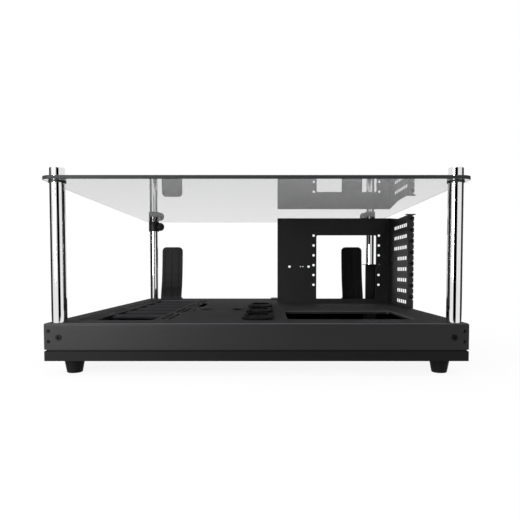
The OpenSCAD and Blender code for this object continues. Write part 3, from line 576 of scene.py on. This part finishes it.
class CASE_OT_slot_covers(bpy.types.Operator):
    """Slot covers with narrow bars across their vents"""

    bl_idname = "case.slot_covers"
    bl_label = "Slot covers"

    def execute(self, context):
        finish = context.scene.case_finish
        cover = powder_coat("cover_powder_coat", finish, COVER_FACTOR, COAT_SPECULAR)
        for index, node in enumerate(COVER_NODES):
            low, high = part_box(node)
            length, cells = LONG_VENT if index < LONG_VENTS else SHORT_VENT
            bm = bmesh.new()
            bm.from_mesh(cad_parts[node].data)
            bmesh.ops.remove_doubles(bm, verts=bm.verts, dist=MERGE)
            for cell in range(1, cells):
                bar = bmesh.ops.create_cube(bm, size=1)["verts"]
                bmesh.ops.scale(bm, vec=VENT_BAR, verts=bar)
                along = low.y + VENT_START + length * cell / cells
                place = Vector((low.x + VENT_BAR_INSET, along, (low.z + high.z) / 2))
                bmesh.ops.translate(bm, vec=place, verts=bar)
            finish_piece(f"vented_{node}", bm, [cover], [node], 0)
        return {"FINISHED"}


class CASE_OT_fasteners(bpy.types.Operator):
    """Blackened steel on the screws and rivets, zinc on the inner blocks"""

    bl_idname = "case.fasteners"
    bl_label = "Fasteners"

    def execute(self, context):
        black = plated("black_screw_steel", (0.012, 0.012, 0.012), low=0.3, high=0.5, streak=0.0008)
        zinc = plated("zinc_plate", (0.42, 0.42, 0.43), low=0.35, high=0.5, streak=0.002)
        for node in SCREW_NODES:
            dress(node, black)
        for corner in CORNERS:
            dress(f"corner_block_{corner}", zinc)
        return {"FINISHED"}


class CASE_OT_posts(bpy.types.Operator):
    """Four chromed posts with turned ends"""

    bl_idname = "case.posts"
    bl_label = "Posts"

    def execute(self, context):
        turns = context.scene.case_detail.turns
        chrome = plated("bright_chrome", context.scene.case_finish.chrome,
                        low=0.03, high=0.06, streak=0.0015)
        for corner in CORNERS:
            node = f"post_{corner}"
            foot, radius, low, high = standing(node)
            bm = lathe(post_profile(radius, low, high), turns, foot)
            finish_piece(f"turned_{node}", bm, [chrome], [node])
        return {"FINISHED"}


class CASE_OT_glass(bpy.types.Operator):
    """Grey glass top with round corners and a ground arris"""

    bl_idname = "case.glass"
    bl_label = "Glass top"

    def execute(self, context):
        detail = context.scene.case_detail
        low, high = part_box("glass_top")
        bm = bmesh.new()
        bmesh.ops.create_cube(bm, size=1)
        bmesh.ops.scale(bm, vec=high - low, verts=bm.verts)
        bmesh.ops.translate(bm, vec=(low + high) / 2, verts=bm.verts)
        upright = [e for e in bm.edges if abs(e.verts[0].co.z - e.verts[1].co.z) > UPRIGHT_RISE]
        bmesh.ops.bevel(bm, geom=upright, affect="EDGES", offset=detail.glass_corner,
                        segments=CORNER_SEGMENTS, profile=0.5, material=-1)
        rims = [e for e in bm.edges if abs(e.verts[0].co.z - e.verts[1].co.z) < MERGE
                and len(e.link_faces) == 2 and abs(e.calc_face_angle(0)) > RIM_ANGLE]
        bmesh.ops.bevel(bm, geom=rims, affect="EDGES", offset=detail.arris,
                        segments=ARRIS_SEGMENTS, profile=0.5, material=-1)
        for face in bm.faces:
            if abs(face.normal.z) < SIDE_NORMAL:
                face.material_index = 1
        glass = tinted_glass("grey_glass", context.scene.case_finish.glass)
        edge = ground_edge("glass_edge")
        finish_piece("glass_slab", bm, [glass, edge], ["glass_top"], 0)
        return {"FINISHED"}


class CASE_OT_clamps(bpy.types.Operator):
    """Rings under the glass at the front, collars and knobs at the back, and the cable clip"""

    bl_idname = "case.clamps"
    bl_label = "Rings and clamps"

    def execute(self, context):
        finish = context.scene.case_finish
        turns = context.scene.case_detail.turns
        rubber = moulded("ring_rubber", finish.rubber, rough=0.45, grain=0.0005, specular=0.35)
        plastic = moulded("collar_plastic", scaled(finish.plastic, 0.5),
                          rough=0.45, grain=0.0006, specular=0.2)
        for side in ("left", "right"):
            node = f"glass_ring_{side}"
            foot, radius, low, high = standing(node)
            bm = lathe(ring_profile(radius, low, high), turns, foot)
            finish_piece(f"turned_{node}", bm, [rubber], [node])
            dress(f"clamp_collar_{side}", plastic)
            knob = f"collar_knob_{side}"
            low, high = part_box(knob)
            start, axis = (low.x, "X") if side == "left" else (high.x, "-X")
            post = standing(f"post_rear_{side}")[0]
            place = Vector((start, post.y, (low.z + high.z) / 2))
            profile = knob_profile((high.z - low.z) / 2, high.x - low.x)
            bm = lathe(profile, turns, place, axis)
            finish_piece(f"turned_{knob}", bm, [plastic], [knob])
        dress("cable_clip", plastic)
        return {"FINISHED"}


class CASE_OT_feet(bpy.types.Operator):
    """Four tapered rubber feet"""

    bl_idname = "case.feet"
    bl_label = "Feet"

    def execute(self, context):
        turns = context.scene.case_detail.turns
        rubber = moulded("foot_rubber", scaled(context.scene.case_finish.rubber, 0.6),
                         rough=0.55, grain=0.0008, specular=0.1)
        for corner in CORNERS:
            node = f"foot_{corner}"
            foot, radius, _, high = standing(node)
            bm = lathe(foot_profile(radius, high), turns, foot)
            finish_piece(f"turned_{node}", bm, [rubber], [node])
        return {"FINISHED"}


class CASE_OT_grommets(bpy.types.Operator):
    """Three rubber cable grommets"""

    bl_idname = "case.grommets"
    bl_label = "Grommets"

    def execute(self, context):
        rubber = moulded("grommet_rubber", scaled(context.scene.case_finish.rubber, 0.5),
                         rough=0.8, grain=0.0006, specular=0.05)
        for place in ("front", "middle", "rear"):
            dress(f"grommet_{place}", rubber)
        return {"FINISHED"}


def area_lamp(name, place, target, size, power):
    """A soft rectangular lamp that looks at a point."""
    lamp = bpy.data.lights.new(name, "AREA")
    lamp.shape = "RECTANGLE"
    lamp.size, lamp.size_y = size
    lamp.energy = power
    holder = bpy.data.objects.new(name, lamp)
    bpy.context.scene.collection.objects.link(holder)
    holder.location = place
    holder.rotation_euler = (Vector(target) - Vector(place)).to_track_quat("-Z", "Y").to_euler()


def stage_board(name, place, size, turn, material):
    """An upright flat board of the stage that polished pieces mirror."""
    bm = bmesh.new()
    bmesh.ops.create_grid(bm, x_segments=1, y_segments=1, size=0.5)
    bmesh.ops.scale(bm, vec=(*size, 1), verts=bm.verts)
    for angle, axis in ((math.pi / 2, "X"), (turn, "Z")):
        bmesh.ops.rotate(bm, cent=(0, 0, 0), matrix=Matrix.Rotation(angle, 3, axis), verts=bm.verts)
    bmesh.ops.translate(bm, vec=place, verts=bm.verts)
    board = new_object(name, bm, [material])
    board.visible_camera = False
    board.visible_shadow = False
    board.visible_diffuse = False


class CASE_OT_stage(bpy.types.Operator):
    """White floor and world, soft lamps, dark boards for the chrome, and the camera"""

    bl_idname = "case.stage"
    bl_label = "Stage"

    def execute(self, context):
        stage = context.scene.case_stage
        self.make_world(context.scene, stage.fill)
        self.make_floor(stage.floor_shade)
        area_lamp("lamp_left", *LAMP_LEFT, stage.lamp_left)
        area_lamp("lamp_top", *LAMP_TOP, stage.lamp_top)
        materials = {name: flat_board(name, colour) for name, colour in BOARD_COLOURS.items()}
        for name, place, size, turn, material in BOARDS:
            stage_board(name, place, size, turn, materials[material])
        self.make_camera(context.scene, stage)
        context.scene.view_settings.view_transform = "Standard"
        return {"FINISHED"}

    def make_world(self, scene, fill):
        """White to the camera and in reflections, softer on matt surfaces."""
        world = bpy.data.worlds.new("white_world")
        scene.world = world
        world.use_nodes = True
        tree = world.node_tree
        background = tree.nodes["Background"]
        background.inputs["Color"].default_value = (1, 1, 1, 1)
        strength = remap(tree, direct_rays(tree), (0, 1), (fill, 1))
        tree.links.new(strength, background.inputs["Strength"])

    def make_floor(self, shade):
        """Floor that glows white far from the case, and shows a little shadow near it."""
        bm = bmesh.new()
        bmesh.ops.create_grid(bm, x_segments=1, y_segments=1, size=FLOOR_REACH)
        material, tree, shader = new_material("white_floor")
        shader.inputs["Base Color"].default_value = (*FLOOR_COLOUR, 1)
        shader.inputs["Roughness"].default_value = 0.9
        shader.inputs["Specular IOR Level"].default_value = 0.0
        coordinates = add(tree, "ShaderNodeTexCoord")
        far = add(tree, "ShaderNodeVectorMath", operation="LENGTH")
        tree.links.new(coordinates.outputs["Object"], far.inputs[0])
        fade = remap(tree, far.outputs["Value"], FLOOR_FADE, (1 - shade, 1))
        share = add(tree, "ShaderNodeMath", operation="MULTIPLY")
        tree.links.new(direct_rays(tree), share.inputs[0])
        tree.links.new(fade, share.inputs[1])
        glow = add(tree, "ShaderNodeEmission", Strength=1.0)
        mix = add(tree, "ShaderNodeMixShader")
        tree.links.new(share.outputs[0], mix.inputs["Fac"])
        tree.links.new(shader.outputs[0], mix.inputs[1])
        tree.links.new(glow.outputs[0], mix.inputs[2])
        tree.links.new(mix.outputs[0], tree.nodes["Material Output"].inputs["Surface"])
        floor = new_object("floor", bm, [material])

    def make_camera(self, scene, stage):
        """Camera at the photograph's viewing angle."""
        data = bpy.data.cameras.new("camera")
        data.sensor_width = 36
        data.lens = stage.lens
        data.shift_x, data.shift_y = stage.camera_shift
        data.clip_start = 0.01
        data.clip_end = 50
        camera = bpy.data.objects.new("camera", data)
        scene.collection.objects.link(camera)
        camera.location = stage.camera_place
        camera.rotation_euler = (math.pi / 2 - stage.camera_dip, 0, 0)
        scene.camera = camera


class CASE_PT_panel(bpy.types.Panel):
    """Lists the steps and the sizes that go with them"""

    bl_label = "Bench Case"
    bl_idname = "CASE_PT_panel"
    bl_space_type = "VIEW_3D"
    bl_region_type = "UI"
    bl_category = "Bench Case"

    def draw(self, context):
        for step in STEPS:
            self.layout.operator(step.bl_idname)
        for group in (getattr(context.scene, name) for name in GROUPS):
            box = self.layout.box()
            for name in group.bl_rna.properties.keys():
                if name not in {"rna_type", "name"}:
                    box.prop(group, name)


STEPS = (CASE_OT_sheet_metal, CASE_OT_slot_covers, CASE_OT_fasteners, CASE_OT_posts, CASE_OT_glass,
         CASE_OT_clamps, CASE_OT_feet, CASE_OT_grommets, CASE_OT_stage)
GROUPS = {"case_finish": CaseFinish, "case_stage": CaseStage, "case_detail": CaseDetail}


def register():
    for group in GROUPS.values():
        bpy.utils.register_class(group)
    for name, group in GROUPS.items():
        setattr(bpy.types.Scene, name, PointerProperty(type=group))
    for step in STEPS:
        bpy.utils.register_class(step)
    bpy.utils.register_class(CASE_PT_panel)


def unregister():
    bpy.utils.unregister_class(CASE_PT_panel)
    for step in reversed(STEPS):
        bpy.utils.unregister_class(step)
    for name in GROUPS:
        delattr(bpy.types.Scene, name)
    for group in reversed(GROUPS.values()):
        bpy.utils.unregister_class(group)


def main():
    """Registers the add-on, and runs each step."""
    register()
    for step in STEPS:
        group, name = step.bl_idname.split(".")
        getattr(getattr(bpy.ops, group), name)()


if __name__ == "__main__":
    main()
